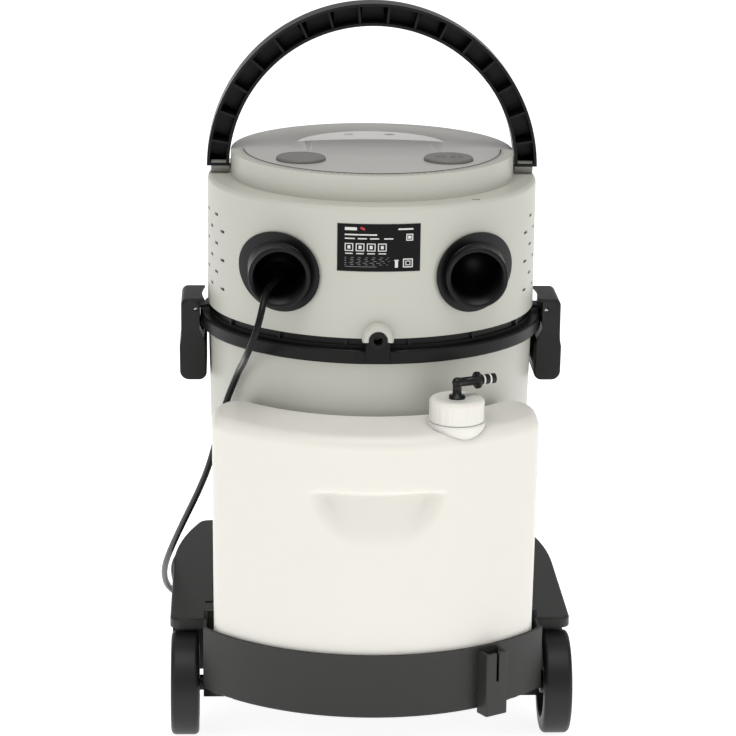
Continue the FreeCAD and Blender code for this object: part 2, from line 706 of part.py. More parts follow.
def float_valve():
    top = gasket_top_z
    cage = ring(36, 40, top - 84, top).fuse(ring(40, 52, top - 3, top))
    cage = cage.fuse([disc(40, top - 86, top - 84), ring(20, 36, top - 3, top)])
    for k in range(8):
        cage = cage.cut(about_axis(block(30, 45, -8, 8, top - 74, top - 14), 45 * k))
    save("float_cage", cage)
    save("float_cup", Part.makeSphere(24, V(0, 0, top - 58)).fuse(disc(20, top - 80, top - 60)))
    save("foam_filter", ring(41, 50, top - 82, top - 5))


# ---- solution tank --------------------------------------------------------------------------------
def crescent_loft(low, high, inset):
    """Drafted crescent block: round outer wall, concave wall that follows the recovery tank."""
    def plan(z, shrink):
        outer_r = tray_r - sol_gap - base_wall + sol_draft - shrink - inset
        half = sol_half_x - shrink * 0.6 - inset
        front = sol_front_y - inset
        inner_r = tank_top_r + sol_drum_gap + inset
        face = Part.makeCylinder(outer_r, 1, V(0, tray_y, z), Z)
        face = face.common(block(-half, half, -400, front, z, z + 1))
        face = face.cut(disc(inner_r, z - 1, z + 2))
        tip_x = math.sqrt(inner_r ** 2 - front ** 2)
        corner_r = min(sol_corner, 0.75 * (half - tip_x)) - inset
        tip_r = min(sol_tip_corner, 0.3 * (half - tip_x)) - inset
        face = fillet_where(face, corner_r, lambda e: upright(e) and abs(e.BoundBox.XMax) > half - 0.1)
        face = fillet_where(face, tip_r, lambda e: upright(e) and abs(e.BoundBox.XMax) < tip_x + 0.1)
        return [f for f in face.Faces if abs(f.normalAt(0, 0).z + 1) < 0.01][0].OuterWire
    return Part.makeLoft([plan(low, sol_draft), plan(high, 0.0)], True, True)


def grip_cutter(grow):
    """D-shaped wedge that hollows the rear face under a finger ledge."""
    rear = tray_y - tray_r
    half = grip_half_x + grow
    top = grip_top_z + grow
    low = grip_low_z - grow
    foot = half * 0.45
    bulge_x = half * 0.84
    bulge_z = low + 0.29 * (top - low)
    wire = Part.Wire([Part.makeLine(V(-half, 0, top), V(half, 0, top)),
                      Part.Arc(V(half, 0, top), V(bulge_x, 0, bulge_z), V(foot, 0, low)).toShape(),
                      Part.makeLine(V(foot, 0, low), V(-foot, 0, low)),
                      Part.Arc(V(-foot, 0, low), V(-bulge_x, 0, bulge_z), V(-half, 0, top)).toShape()])
    body = Part.Face(wire).extrude(V(0, 60, 0))
    tilt = math.degrees(math.atan2(grip_deep + 4, grip_top_z - grip_low_z))
    body.translate(V(0, rear - 56 + grow, 0))
    body.rotate(V(0, rear + 4 + grow, low), X, -tilt)
    return body


def solution_tank():
    outer = crescent_loft(sol_low_z, sol_top_z, 0.0)
    outer = fillet_where(outer, sol_edge, lambda e: level(e, sol_top_z))
    outer = fillet_where(outer, sol_edge, lambda e: level(e, sol_low_z))
    inner = crescent_loft(sol_low_z + sol_wall, sol_top_z - sol_wall, sol_wall)
    inner = inner.cut(grip_cutter(sol_wall))
    body = outer.cut(grip_cutter(0.0)).cut(inner)
    body = body.fuse(disc(cap_r - 1, sol_top_z - sol_wall, sol_top_z + cap_pad_h, cap_x, cap_y))
    body = body.fuse(disc(neck_r, sol_top_z - sol_wall, sol_top_z + neck_h, cap_x, cap_y))
    return body.cut(disc(neck_r - 3, sol_top_z - sol_wall - 1, sol_top_z + neck_h + 1, cap_x, cap_y))


def tank_cap():
    top = sol_top_z + cap_h
    body = disc(cap_r, cap_low_z, top, cap_x, cap_y)
    body = fillet_where(body, cap_round, lambda e: level(e, top))
    grooves = []
    for k in range(cap_grooves):
        groove = disc(1.6, 0, top - cap_round - 1, cap_x + cap_r + 1.0, cap_y)
        grooves.append(about_axis(groove, 360 / cap_grooves * k, cap_x, cap_y))
    body = body.cut(Part.makeCompound(grooves))
    body = body.cut(disc(neck_r + 0.4, 0, sol_top_z + neck_h + 2, cap_x, cap_y))
    return body.cut(disc(8 + running_gap, 0, top + 1, cap_x, cap_y))


def outlet_fitting():
    """Swivelling elbow on the cap: riser, level arm, flange and a stub with two seals."""
    top = sol_top_z + cap_h
    arm_z = top + 15
    barrel = disc(8, sol_top_z + neck_h + 3, top + 2, cap_x, cap_y)
    riser = disc(4.5, top, arm_z, cap_x, cap_y)
    knee = Part.makeSphere(5.2, V(cap_x, cap_y, arm_z))
    arm = rod_x(4.5, cap_x, cap_x + 25, cap_y, arm_z)
    flange = rod_x(8.5, cap_x + 21, cap_x + 24, cap_y, arm_z)
    stub = rod_x(5, cap_x + 24, cap_x + 42, cap_y, arm_z)
    body = barrel.fuse([riser, knee, arm, flange, stub])
    seals = []
    for x in (cap_x + 29, cap_x + 36):
        seal = Part.makeTorus(4.6, 1.0, V(x, cap_y, arm_z), X)
        seals.append(seal)
        body = body.cut(seal)
    body = body.cut(rod_x(2.5, cap_x, cap_x + 50, cap_y, arm_z)).cut(disc(2.5, 0, arm_z, cap_x, cap_y))
    save("outlet_elbow", about_axis(body, elbow_swing, cap_x, cap_y))
    save("outlet_seals", about_axis(Part.makeCompound(seals), elbow_swing, cap_x, cap_y))
    foot = sol_low_z + sol_wall + 6
    save("dip_tube", ring(2.5, 4.5, foot, sol_top_z + neck_h + 3, cap_x, cap_y))


# ---- mains lead -------------------------------------------------------------------------------------
cord_route = [
    V(-98, -128, 495), V(-98.5, -146, 495), V(-103, -163, 495), V(-110.5, -180, 492.5), V(-116.5, -195, 483.5),
    V(-122.5, -204, 467.5), V(-128.3, -203.8, 449), V(-133, -194, 433), V(-135.4, -161, 419.5),
    V(-137.3, -127, 404.5), V(-140.1, -108.5, 391), V(-145, -101, 375), V(-151, -91.5, 352),
    V(-160, -74, 312), V(-169, -47, 271), V(-181, -14, 232), V(-194, 20, 195), V(-206, 62, 157),
    V(-216, 108, 120), V(-221, 154, 90), V(-222, 202, 62), V(-219, 243, 37), V(-211, 276, 18),
    V(-195, 297, 7), V(-173, 308, 3.5), V(-146, 308, 3.5), V(-123, 293, 3.5), V(-114, 267, 3.5),
    V(-121, 241, 3.5), V(-143, 224, 3.5), V(-170, 223, 3.5), V(-193, 239, 3.5), V(-203, 265, 3.5),
    V(-206, 304, 3.5), V(-212, 350, 3.5), V(-217, 402, 3.5), V(-213, 452, 3.5), V(-198, 489, 3.5),
    V(-166, 509, 3.5), V(-128, 498, 3.5)]


def rounded_tube(points, radius):
    """Tube of straight runs and tangent arcs; returns it with its length and the arc radii."""
    edges = []
    radii = []
    start = points[0]
    for before, corner, after in zip(points, points[1:], points[2:]):
        d0 = (corner - before).normalize()
        d1 = (after - corner).normalize()
        half = d0.getAngle(d1) / 2.0
        reach = 0.45 * min((corner - before).Length, (after - corner).Length)
        radii.append(reach / math.tan(half))
        p0 = corner - d0 * reach
        p1 = corner + d1 * reach
        out = (d1 - d0).normalize()
        middle = corner + out * (radii[-1] * (1.0 / math.cos(half) - 1.0))
        edges.append(Part.LineSegment(start, p0).toShape())
        edges.append(Part.Arc(p0, middle, p1).toShape())
        start = p1
    edges.append(Part.LineSegment(start, points[-1]).toShape())
    wire = Part.Wire(edges)
    heading = (points[1] - points[0]).normalize()
    profile = Part.Wire(Part.makeCircle(radius, points[0], heading))
    return wire.makePipeShell([profile], True, False), wire.Length, radii


def mains_lead():
    tube, length, radii = rounded_tube(cord_route, cord_r)
    print("cord run %.1f mm, radii %s" % (length, [round(r) for r in radii]))
    print("cord volume over section times length %.4f" % (tube.Volume / (math.pi * cord_r ** 2 * length)))
    save("mains_cord", tube)
    save("cord_coil", ring(coil_mid_r - coil_half_w, coil_mid_r + coil_half_w, 0, coil_h, coil_x, coil_y))
    seat_y = port_back_y - 3
    gland = Part.makeCone(9, 5, seat_y - cord_out.y, V(cord_out.x, seat_y, cord_out.z), V(0, -1, 0))
    save("cord_gland", gland)
    x = coil_x + coil_mid_r + coil_half_w
    y = coil_y - 26
    z = 18.5
    relief = Part.makeCone(5, 7.5, 24, V(x, y, z), V(0, -1, 0))
    grip = Part.makeCone(9, 18.5, 30, V(x, y - 24, z), V(0, -1, 0))
    face = rod_y(18.5, y - 64, y - 54, x, z)
    save("plug_body", relief.fuse([grip, face]))
    pins = [rod_y(2.4, y - 83, y - 64, x + s * 9.5, z) for s in (-1, 1)]
    save("plug_pins", Part.makeCompound(pins))


def case_screws():
    heads = []
    for k in range(6):
        x = (base_r - 14) * math.cos(math.radians(60 * k))
        y = (base_r - 14) * math.sin(math.radians(60 * k))
        heads.append(disc(4, gasket_top_z + deck_t, gasket_top_z + deck_t + 3, x, y))
    for x, z in inlet_screw_places:
        heads.append(rod_y(3.0, screw_seat_y, screw_seat_y + 4, x, z))
    return Part.makeCompound(heads)


os.makedirs("parts", exist_ok=True)
save("trolley_base", trolley_base())
save("accessory_clip", accessory_clip())
running_gear()
casters()
save("recovery_tank", recovery_tank())
save("tank_ring", tank_ring())
gasket_r = ring_in_r - ring_lip_w + 1
save("head_gasket", ring(gasket_r, gasket_r + gasket_w, ring_top_z, gasket_top_z))
save("suction_inlet", suction_inlet())
save("inlet_deflector", inlet_deflector())
save("head_base", head_base())
save("head_shell", head_shell())
save("exhaust_port_left", exhaust_port(-1))
save("exhaust_port_right", exhaust_port(1))
save("rating_label", rating_label())
save("top_cover", top_cover())
save("top_plate", top_plate())
save("crescent_panel", crescent_prism(cover_top_z - 1.2, cover_top_z + 0.6))
foot_switches()
save("handle", handle())
handle_fittings()
latches()
power_unit()
float_valve()
save("solution_tank", solution_tank())
save("tank_cap", tank_cap())
outlet_fitting()
mains_lead()
save("case_screws", case_screws())

for name, shape in made.items():
    if not shape.isValid():
        print("invalid", name)
whole = Part.makeCompound(list(made.values())).BoundBox
print("%d nodes, %.0f by %.0f by %.0f mm" % (len(made), whole.XLength, whole.YLength, whole.ZLength))
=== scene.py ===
import json
import math

import bmesh
import bpy
import numpy as np
from mathutils import Matrix, Vector


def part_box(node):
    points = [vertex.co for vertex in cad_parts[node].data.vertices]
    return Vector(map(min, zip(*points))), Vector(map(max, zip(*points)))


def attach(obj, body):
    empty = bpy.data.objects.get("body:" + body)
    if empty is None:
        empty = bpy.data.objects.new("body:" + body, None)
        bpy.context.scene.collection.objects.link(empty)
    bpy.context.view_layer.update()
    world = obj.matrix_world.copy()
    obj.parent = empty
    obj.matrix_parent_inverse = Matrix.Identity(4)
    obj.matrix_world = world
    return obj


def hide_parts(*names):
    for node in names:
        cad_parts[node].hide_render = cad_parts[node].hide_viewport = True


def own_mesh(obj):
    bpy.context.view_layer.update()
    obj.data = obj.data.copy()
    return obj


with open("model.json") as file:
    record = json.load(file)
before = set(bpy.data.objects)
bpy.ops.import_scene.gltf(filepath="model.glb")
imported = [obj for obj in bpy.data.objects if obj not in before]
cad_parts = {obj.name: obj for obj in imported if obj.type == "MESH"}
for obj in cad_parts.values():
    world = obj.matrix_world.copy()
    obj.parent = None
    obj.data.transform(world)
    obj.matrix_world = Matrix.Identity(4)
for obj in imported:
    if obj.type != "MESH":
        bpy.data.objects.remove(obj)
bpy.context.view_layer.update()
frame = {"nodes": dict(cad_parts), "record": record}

# ---- studio ----------------------------------------------------------------------------------
# A pale seamless floor, a bright even surround and three large soft lamps, with a long lens
# that looks down a little on the rear of the machine.
eye = Vector((-0.1422, -3.0066, 1.1797))
heading = 0.0468
pitch = 0.2642
roll = 0.0129
ahead = Vector((math.sin(heading) * math.cos(pitch), math.cos(heading) * math.cos(pitch), -math.sin(pitch)))
level_right = ahead.cross(Vector((0, 0, 1))).normalized()
level_up = level_right.cross(ahead)
right = level_right * math.cos(roll) + level_up * math.sin(roll)
up = level_up * math.cos(roll) - level_right * math.sin(roll)
lens = bpy.data.cameras.new("studio_camera")
lens.sensor_width = 36.0
lens.lens = 144.47
lens.clip_end = 60.0
camera = bpy.data.objects.new("studio_camera", lens)
bpy.context.scene.collection.objects.link(camera)
turn = Matrix((right, up, -ahead)).transposed().to_4x4()
camera.matrix_world = Matrix.Translation(eye) @ turn
bpy.context.scene.camera = camera
bpy.context.scene.view_settings.view_transform = "Standard"

world = bpy.data.worlds.new("studio_air")
bpy.context.scene.world = world
world.use_nodes = True
world.node_tree.nodes["Background"].inputs["Color"].default_value = (1.0, 1.0, 1.0, 1)
world.node_tree.nodes["Background"].inputs["Strength"].default_value = 0.46


def soft_lamp(name, place, aim, size, watts):
    """A square area lamp at place that faces aim."""
    lamp = bpy.data.lights.new(name, "AREA")
    lamp.shape = "RECTANGLE"
    lamp.size = size[0]
    lamp.size_y = size[1]
    lamp.energy = watts
    holder = bpy.data.objects.new(name, lamp)
    bpy.context.scene.collection.objects.link(holder)
    way = Vector(aim) - Vector(place)
    holder.matrix_world = Matrix.Translation(place) @ way.to_track_quat("-Z", "Y").to_matrix().to_4x4()


soft_lamp("key_left", (-2.4, -2.4, 2.2), (0, 0, 0.35), (1.4, 2.2), 10)
soft_lamp("fill_right", (2.6, -2.0, 1.5), (0, 0, 0.35), (1.2, 2.2), 7)
soft_lamp("top_sheet", (0, -0.9, 2.9), (0, 0, 0.4), (2.0, 1.6), 33)

floor_mesh = bpy.data.meshes.new("studio_floor")
floor_mesh.from_pydata([(-90, -90, 0), (90, -90, 0), (90, 120, 0), (-90, 120, 0)], [], [(0, 1, 2, 3)])
floor = bpy.data.objects.new("studio_floor", floor_mesh)
bpy.context.scene.collection.objects.link(floor)
floor_paint = bpy.data.materials.new("studio_floor")
floor_paint.use_nodes = True
floor_shader = floor_paint.node_tree.nodes["Principled BSDF"]
floor_shader.inputs["Base Color"].default_value = (0.93, 0.93, 0.93, 1)
floor_shader.inputs["Roughness"].default_value = 0.9
floor_shader.inputs["Emission Color"].default_value = (1, 1, 1, 1)
floor_shader.inputs["Emission Strength"].default_value = 0.85
floor_mesh.materials.append(floor_paint)


# ---- mains lead ------------------------------------------------------------------------------
# A 5 m lead of 7 mm black PVC: out of the left port, over its lip, down between the drum and
# the solution tank, in one loose turn on the floor, and the rest wound up beside its plug.
def moulded(name, colour, rough=0.45, grain=900.0, depth=0.12, mottle=0.04, coat=0.0, scuff=0.0, shine=0.5):
    """Moulded plastic. Colour is the base times 1 - mottle to 1 + mottle by a soft noise, lifted
    on worn convex edges by scuff; roughness and a bump come from a fine spark-eroded grain."""
    paint = bpy.data.materials.new(name)
    paint.use_nodes = True
    nodes = paint.node_tree.nodes
    links = paint.node_tree.links
    shader = nodes["Principled BSDF"]
    shader.inputs["Specular IOR Level"].default_value = shine
    shader.inputs["Coat Weight"].default_value = coat
    shader.inputs["Coat Roughness"].default_value = 0.25
    place = nodes.new("ShaderNodeTexCoord")
    cloud = nodes.new("ShaderNodeTexNoise")
    cloud.inputs["Scale"].default_value = 9.0
    cloud.inputs["Detail"].default_value = 4.0
    links.new(place.outputs["Object"], cloud.inputs["Vector"])
    tint = nodes.new("ShaderNodeMix")
    tint.data_type = "RGBA"
    shade = np.array(colour)
    tint.inputs["A"].default_value = (*(shade * (1 - mottle)), 1)
    tint.inputs["B"].default_value = (*np.minimum(shade * (1 + mottle), 1.0), 1)
    links.new(cloud.outputs["Fac"], tint.inputs["Factor"])
    finish = tint.outputs["Result"]
    if scuff:
        edge = nodes.new("ShaderNodeNewGeometry")
        ridge = nodes.new("ShaderNodeMapRange")
        ridge.inputs["From Min"].default_value = 0.52
        ridge.inputs["From Max"].default_value = 0.62
        ridge.inputs["To Max"].default_value = scuff
        links.new(edge.outputs["Pointiness"], ridge.inputs["Value"])
        worn = nodes.new("ShaderNodeMix")
        worn.data_type = "RGBA"
        worn.inputs["B"].default_value = (*np.minimum(shade * 2.5 + 0.03, 1.0), 1)
        links.new(ridge.outputs["Result"], worn.inputs["Factor"])
        links.new(finish, worn.inputs["A"])
        finish = worn.outputs["Result"]
    links.new(finish, shader.inputs["Base Color"])
    speck = nodes.new("ShaderNodeTexNoise")
    speck.inputs["Scale"].default_value = grain
    speck.inputs["Detail"].default_value = 2.0
    links.new(place.outputs["Object"], speck.inputs["Vector"])
    gloss = nodes.new("ShaderNodeMapRange")
    gloss.inputs["To Min"].default_value = rough - 0.07
    gloss.inputs["To Max"].default_value = rough + 0.07
    links.new(speck.outputs["Fac"], gloss.inputs["Value"])
    links.new(gloss.outputs["Result"], shader.inputs["Roughness"])
    relief = nodes.new("ShaderNodeBump")
    relief.inputs["Strength"].default_value = depth
    relief.inputs["Distance"].default_value = 0.0002
    links.new(speck.outputs["Fac"], relief.inputs["Height"])
    links.new(relief.outputs["Normal"], shader.inputs["Normal"])
    return paint


def add_piece(name, mesh, paint, body):
    """Links a mesh as a finished piece with its material, riding body."""
    piece = bpy.data.objects.new(name, mesh)
    bpy.context.scene.collection.objects.link(piece)
    mesh.materials.clear()
    mesh.materials.append(paint)
    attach(piece, body)
    return piece


lead_pvc = moulded("lead_pvc", (0.004, 0.004, 0.0042), rough=0.34, grain=500, depth=0.1, shine=0.18)
lead_r = 0.0035
lead_run_mm = [
    (-98, -128, 495), (-100.5, -146, 495), (-107, -163, 494), (-112, -180, 490.5), (-114.5, -195, 481),
    (-118.5, -203.5, 465.5), (-124, -203, 448), (-130, -194, 431.5), (-132, -165, 418.5),
    (-134, -138, 406.5), (-137, -114, 395), (-142.5, -101, 378), (-151.3, -91.5, 353),
    (-160, -74, 312), (-169, -47, 271), (-181, -14, 232), (-194, 20, 195), (-206, 62, 157),
    (-216, 108, 120), (-221, 154, 90), (-222, 202, 62), (-219, 243, 37), (-211, 276, 18),
    (-195, 297, 7), (-173, 308, 3.5), (-146, 308, 3.5), (-123, 293, 3.5), (-114, 267, 3.5),
    (-121, 241, 3.5), (-143, 224, 3.5), (-170, 223, 3.5), (-193, 239, 3.5), (-203, 265, 3.5),
    (-206, 304, 3.5), (-212, 350, 3.5), (-217, 402, 3.5), (-213, 452, 3.5), (-198, 489, 3.5),
    (-166, 509, 3.5)]
coil_low, coil_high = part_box("cord_coil")
coil_mid = (coil_low + coil_high) / 2
lay_pitch = 0.0073
outer_lay = (coil_high.x - coil_low.x) / 2 - lead_r - 0.0002
layer_rise = 0.0071
steps_per_turn = 16
climb_steps = 12
wound = []
radius = outer_lay
height = lead_r
angle = math.radians(75)
sense = -1
for layer in range(4):
    for k in range(3 * steps_per_turn):
        wound.append((coil_mid.x + radius * math.cos(angle), coil_mid.y + radius * math.sin(angle), height))
        angle -= 2 * math.pi / steps_per_turn
        radius += sense * lay_pitch / steps_per_turn
    if layer < 3:
        for k in range(climb_steps):
            wound.append((coil_mid.x + radius * math.cos(angle), coil_mid.y + radius * math.sin(angle), height))
            angle -= 2 * math.pi / steps_per_turn
            height += layer_rise / climb_steps
    sense = -sense
plug_low, plug_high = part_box("plug_body")
plug_x = (plug_low.x + plug_high.x) / 2
plug_z = (plug_low.z + plug_high.z) / 2
wound.append((plug_x, plug_high.y + 0.018, (wound[-1][2] + plug_z) / 2 + 0.002))
wound.append((plug_x, plug_high.y - 0.001, plug_z))
route = [tuple(c / 1000 for c in p) for p in lead_run_mm] + wound
line = bpy.data.curves.new("mains_lead", "CURVE")
line.dimensions = "3D"
strand = line.splines.new("NURBS")
strand.points.add(len(route) - 1)
for point, place in zip(strand.points, route):
    point.co = (*place, 1)
strand.order_u = 3
strand.use_endpoint_u = True
strand.resolution_u = 6
line.bevel_depth = lead_r
line.bevel_resolution = 4
line.use_fill_caps = True
line.materials.append(lead_pvc)
lead = bpy.data.objects.new("mains_lead", line)
bpy.context.scene.collection.objects.link(lead)
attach(lead, "machine")
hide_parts("mains_cord", "cord_coil")


# ---- trolley, nozzle clip and wheels ---------------------------------------------------------
# One black polypropylene moulding with a flat deck, a tray wall round the solution tank and
# ribs underneath; a slotted clip is screwed to the tray, and the axle passes through its cheeks.
def casing_copy(node, paint, crease=32.0, centres=((0.0, 0.0),), plane=(0, 1)):
    """Copy of a casing with its loose triangles joined. Edges sharper than crease degrees stay
    sharp. A face whose normal points along the radius from one of the centre lines gets the true
    radial normal at each corner, so that a drum shades as a drum and not as facets. The lines are
    upright, given by their x and y, or for a hoop they run along y and are given by x and z."""
    mesh = frame["nodes"][node].data.copy()
    form = bmesh.new()
    form.from_mesh(mesh)
    bmesh.ops.remove_doubles(form, verts=form.verts, dist=1e-6)
    bmesh.ops.dissolve_degenerate(form, edges=form.edges, dist=1e-7)
    bmesh.ops.triangulate(form, faces=form.faces)
    form.to_mesh(mesh)
    form.free()
    mesh.shade_smooth()
    mesh.set_sharp_from_angle(angle=math.radians(crease))
    count = len(mesh.polygons)
    spots = np.empty(len(mesh.vertices) * 3)
    mesh.vertices.foreach_get("co", spots)
    spots = spots.reshape(-1, 3)
    corners = np.empty(count * 3, dtype=np.int64)
    mesh.loops.foreach_get("vertex_index", corners)
    facing = np.empty(count * 3)
    mesh.polygons.foreach_get("normal", facing)
    facing = np.repeat(facing.reshape(-1, 3), 3, axis=0)
    shading = np.empty(count * 9)
    mesh.corner_normals.foreach_get("vector", shading)
    shading = shading.reshape(-1, 3)
    for centre in centres:
        reach = spots[corners][:, plane] - np.array(centre)
        out = reach / np.maximum(np.linalg.norm(reach, axis=1, keepdims=True), 1e-9)
        flat = facing[:, plane]
        level = np.linalg.norm(flat, axis=1)
        along = np.sum(out * flat, axis=1) / np.maximum(level, 1e-9)
        drum = ((np.abs(along) > 0.985) & (level > 0.9)).reshape(-1, 3).all(axis=1).repeat(3)
        radial = facing.copy()
        radial[:, plane] = out * (np.sign(along) * level)[:, None]
        shading[drum] = radial[drum]
    mesh.normals_split_custom_set(shading.tolist())
    riders = [b for b, names in frame["record"]["behaviour"]["bodies"].items() if node in names]
    piece = add_piece(node + "_skin", mesh, paint, riders[0])
    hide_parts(node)
    return piece


tray_centre = (0.0, -0.017)
base_black = moulded("trolley_polypropylene", (0.0135, 0.013, 0.012), rough=0.45, grain=1100, depth=0.22,
                     scuff=0.2, shine=0.35)
casing_copy("trolley_base", base_black, centres=((0.0, 0.0), tray_centre))
casing_copy("accessory_clip", base_black, centres=(tray_centre,))
tyre_vinyl = moulded("tyre_vinyl", (0.009, 0.009, 0.009), rough=0.45, grain=700, depth=0.2, scuff=0.15,
                     shine=0.3)
hub_plastic = moulded("hub_polypropylene", (0.010, 0.010, 0.010), rough=0.4, grain=900, depth=0.12,
                      shine=0.35)
zinc = moulded("zinc_plate", (0.56, 0.56, 0.55), rough=0.32, grain=1800, depth=0.1)
zinc.node_tree.nodes["Principled BSDF"].inputs["Metallic"].default_value = 1.0
for side in ("left", "right"):
    casing_copy("rear_tyre_" + side, tyre_vinyl, centres=())
    casing_copy("rear_hub_" + side, hub_plastic, centres=())
    casing_copy("caster_wheel_" + side, tyre_vinyl, centres=())
    casing_copy("caster_fork_" + side, hub_plastic, centres=())
    casing_copy("caster_pin_" + side, zinc, centres=())
axle_black = moulded("axle_blackened", (0.03, 0.03, 0.03), rough=0.45, grain=900, shine=0.4)
casing_copy("rear_axle", axle_black, centres=())
casing_copy("axle_retainers", hub_plastic, centres=())


def slab_piece(name, blocks, paint, body):
    """Square-cut walls, each given by its low and high corner, in one mesh."""
    spots = []
    faces = []
    for low, high in blocks:
        first = len(spots)
        spots += [(x, y, z) for x in (low[0], high[0]) for y in (low[1], high[1]) for z in (low[2], high[2])]
        for quad in ((0, 1, 3, 2), (4, 6, 7, 5), (0, 4, 5, 1), (2, 3, 7, 6), (0, 2, 6, 4), (1, 5, 7, 3)):
            faces.append([first + k for k in quad])
    mesh = bpy.data.meshes.new(name)
    mesh.from_pydata(spots, [], faces)
    return add_piece(name, mesh, paint, body)


deck_under = 0.1125
arch_foot = 0.046
arch_wall = 0.003
arch_in = 0.166
arch_out = 0.2075
arch_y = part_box("rear_tyre_right")[1].y + 0.006
arches = [((arch_in, arch_y, arch_foot), (arch_out, arch_y + arch_wall, deck_under)),
          ((-arch_out, arch_y, arch_foot), (-arch_in, arch_y + arch_wall, deck_under))]
slab_piece("wheel_arches", arches, base_black, "machine")

# ---- recovery tank, clamping ring and suction inlet ------------------------------------------
# A tapered warm-grey polypropylene drum. The black ring snaps round its rim and carries the
# latch ledge and the solution socket; the inlet is screwed to the front wall.
drum_grey = moulded("drum_polypropylene", (0.50, 0.50, 0.445), rough=0.4, grain=1300, depth=0.1, mottle=0.015)
casing_copy("recovery_tank", drum_grey)
ring_black = moulded("ring_nylon", (0.0035, 0.0033, 0.003), rough=0.36, grain=900, depth=0.1, scuff=0.12,
                     shine=0.16)
casing_copy("tank_ring", ring_black)
casing_copy("suction_inlet", ring_black)
casing_copy("inlet_deflector", hub_plastic)
seal_and_gap_shade_rubber = moulded("seal_and_gap_shade_rubber", (0.012, 0.0115, 0.011), rough=0.6, grain=900, depth=0.1, shine=0.2)
casing_copy("head_gasket", seal_and_gap_shade_rubber)


# ---- solution tank ---------------------------------------------------------------------------
# Blow-moulded milky polyethylene: a crescent that hugs the drum, soft shoulders, a little draft,
# and a finger recess pressed into the rear wall under a straight ledge.
def arc(centre, reach, start, stop, count):
    """Points on a circle of radius reach about centre, from start to stop degrees, both ends kept."""
    turn = np.radians(np.linspace(start, stop, count))
    return np.column_stack([centre[0] + reach * np.cos(turn), centre[1] + reach * np.sin(turn)])


back_count = 220
side_count = 42
outer_r = 0.222
hollow_r = 0.1722
rear_r = 0.027
end_r = 0.0248
tip_r = 0.0126


def crescent_outline(inset, lean):
    """Closed plan of the crescent, moved inwards by inset and drawn in by lean for the draft. It is
    the outer arc about the tray centre, a rounded corner to each side, a rounded corner to each
    front face, a small tip round and the hollow arc about the drum; a corner of radius r becomes
    one of radius r - inset about the same centre, so every row has the same points in order."""
    outer = outer_r - lean
    half = 0.165 - 0.6 * lean
    front = -0.112
    rear_drop = math.sqrt((outer - rear_r) ** 2 - (half - rear_r) ** 2)
    rear = np.array([half - rear_r, tray_centre[1] - rear_drop])
    rear_turn = math.degrees(math.atan2(rear[1] - tray_centre[1], rear[0]))
    end = np.array([half - end_r, front - end_r])
    tip = np.array([math.sqrt((hollow_r + tip_r) ** 2 - (front - tip_r) ** 2), front - tip_r])
    tip_turn = math.degrees(math.atan2(tip[1], tip[0]))
    back = arc(tray_centre, outer - inset, -180 - rear_turn, rear_turn, back_count)
    corner_a = arc(rear, rear_r - inset, rear_turn, 0, 12)
    corner_b = arc(end, end_r - inset, 0, 90, 18)
    corner_c = arc(tip, tip_r - inset, 90, 180 + tip_turn, 12)
    inner = arc((0, 0), hollow_r + inset, tip_turn, -180 - tip_turn, back_count)
    right = np.concatenate([corner_a, corner_b, corner_c])
    left = right[::-1] * np.array([-1, 1])
    return np.concatenate([back, right, inner, left])


floor_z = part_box("solution_tank")[0].z
crown_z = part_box("tank_cap")[0].z - 0.005
edge_r = 0.012
foot_r = 0.008
draft = 0.004
bend = np.radians(np.linspace(0, 90, 9))
plain = np.concatenate([np.linspace(floor_z + 0.012, 0.246, 26), np.linspace(0.248, 0.2965, 26),
                        np.linspace(0.2972, 0.3032, 13), np.linspace(0.306, crown_z - edge_r - 0.003, 14)])
heights = np.concatenate([floor_z + foot_r - foot_r * np.cos(bend), plain,
                          crown_z - edge_r + edge_r * np.sin(bend)])
insets = np.concatenate([foot_r - foot_r * np.sin(bend), np.zeros(len(plain)),
                         edge_r - edge_r * np.cos(bend)])
rows = []
for inset, z in zip(insets, heights):
    plan = crescent_outline(inset, draft * (crown_z - z) / (crown_z - floor_z))
    rows.append(np.column_stack([plan, np.full(len(plan), z)]))
wall = np.array(rows)
x, y, z = wall[..., 0], wall[..., 1], wall[..., 2]
recess_deep = 0.0105
recess_foot = 0.244
recess_tall = 0.054
ledge_z = 0.302
rise = np.clip((z - recess_foot) / recess_tall, 0, 1)
rise = rise * rise * (3 - 2 * rise)
half_span = 0.038 + 0.034 * np.sqrt(rise)
edge_fade = np.clip((half_span - np.abs(x)) / 0.026, 0, 1)
edge_fade = edge_fade * edge_fade * (3 - 2 * edge_fade)
ledge = np.clip((ledge_z - z) / 0.005, 0, 1)
recess = recess_deep * rise * edge_fade * ledge * (y < -0.15)
recess = recess * (1 - 0.25 * np.cos(np.clip(x / 0.06, -1, 1) * math.pi / 2) * rise)
outward = np.stack([x, y - tray_centre[1]], axis=-1)
outward = outward / np.linalg.norm(outward, axis=-1, keepdims=True)
wall[..., :2] -= outward * recess[..., None]


def crown(spots):
    """The roof falls 8.5 mm from the hollow side to the rear edge; the fall fades out 45 mm down."""
    across = np.clip((np.hypot(spots[..., 0], spots[..., 1]) - hollow_r) / 0.067, 0, 1)
    fade = np.clip((spots[..., 2] - crown_z + 0.045) / 0.045, 0, 1)
    return (0.0045 - 0.0085 * across ** 1.2) * fade * fade * (3 - 2 * fade)


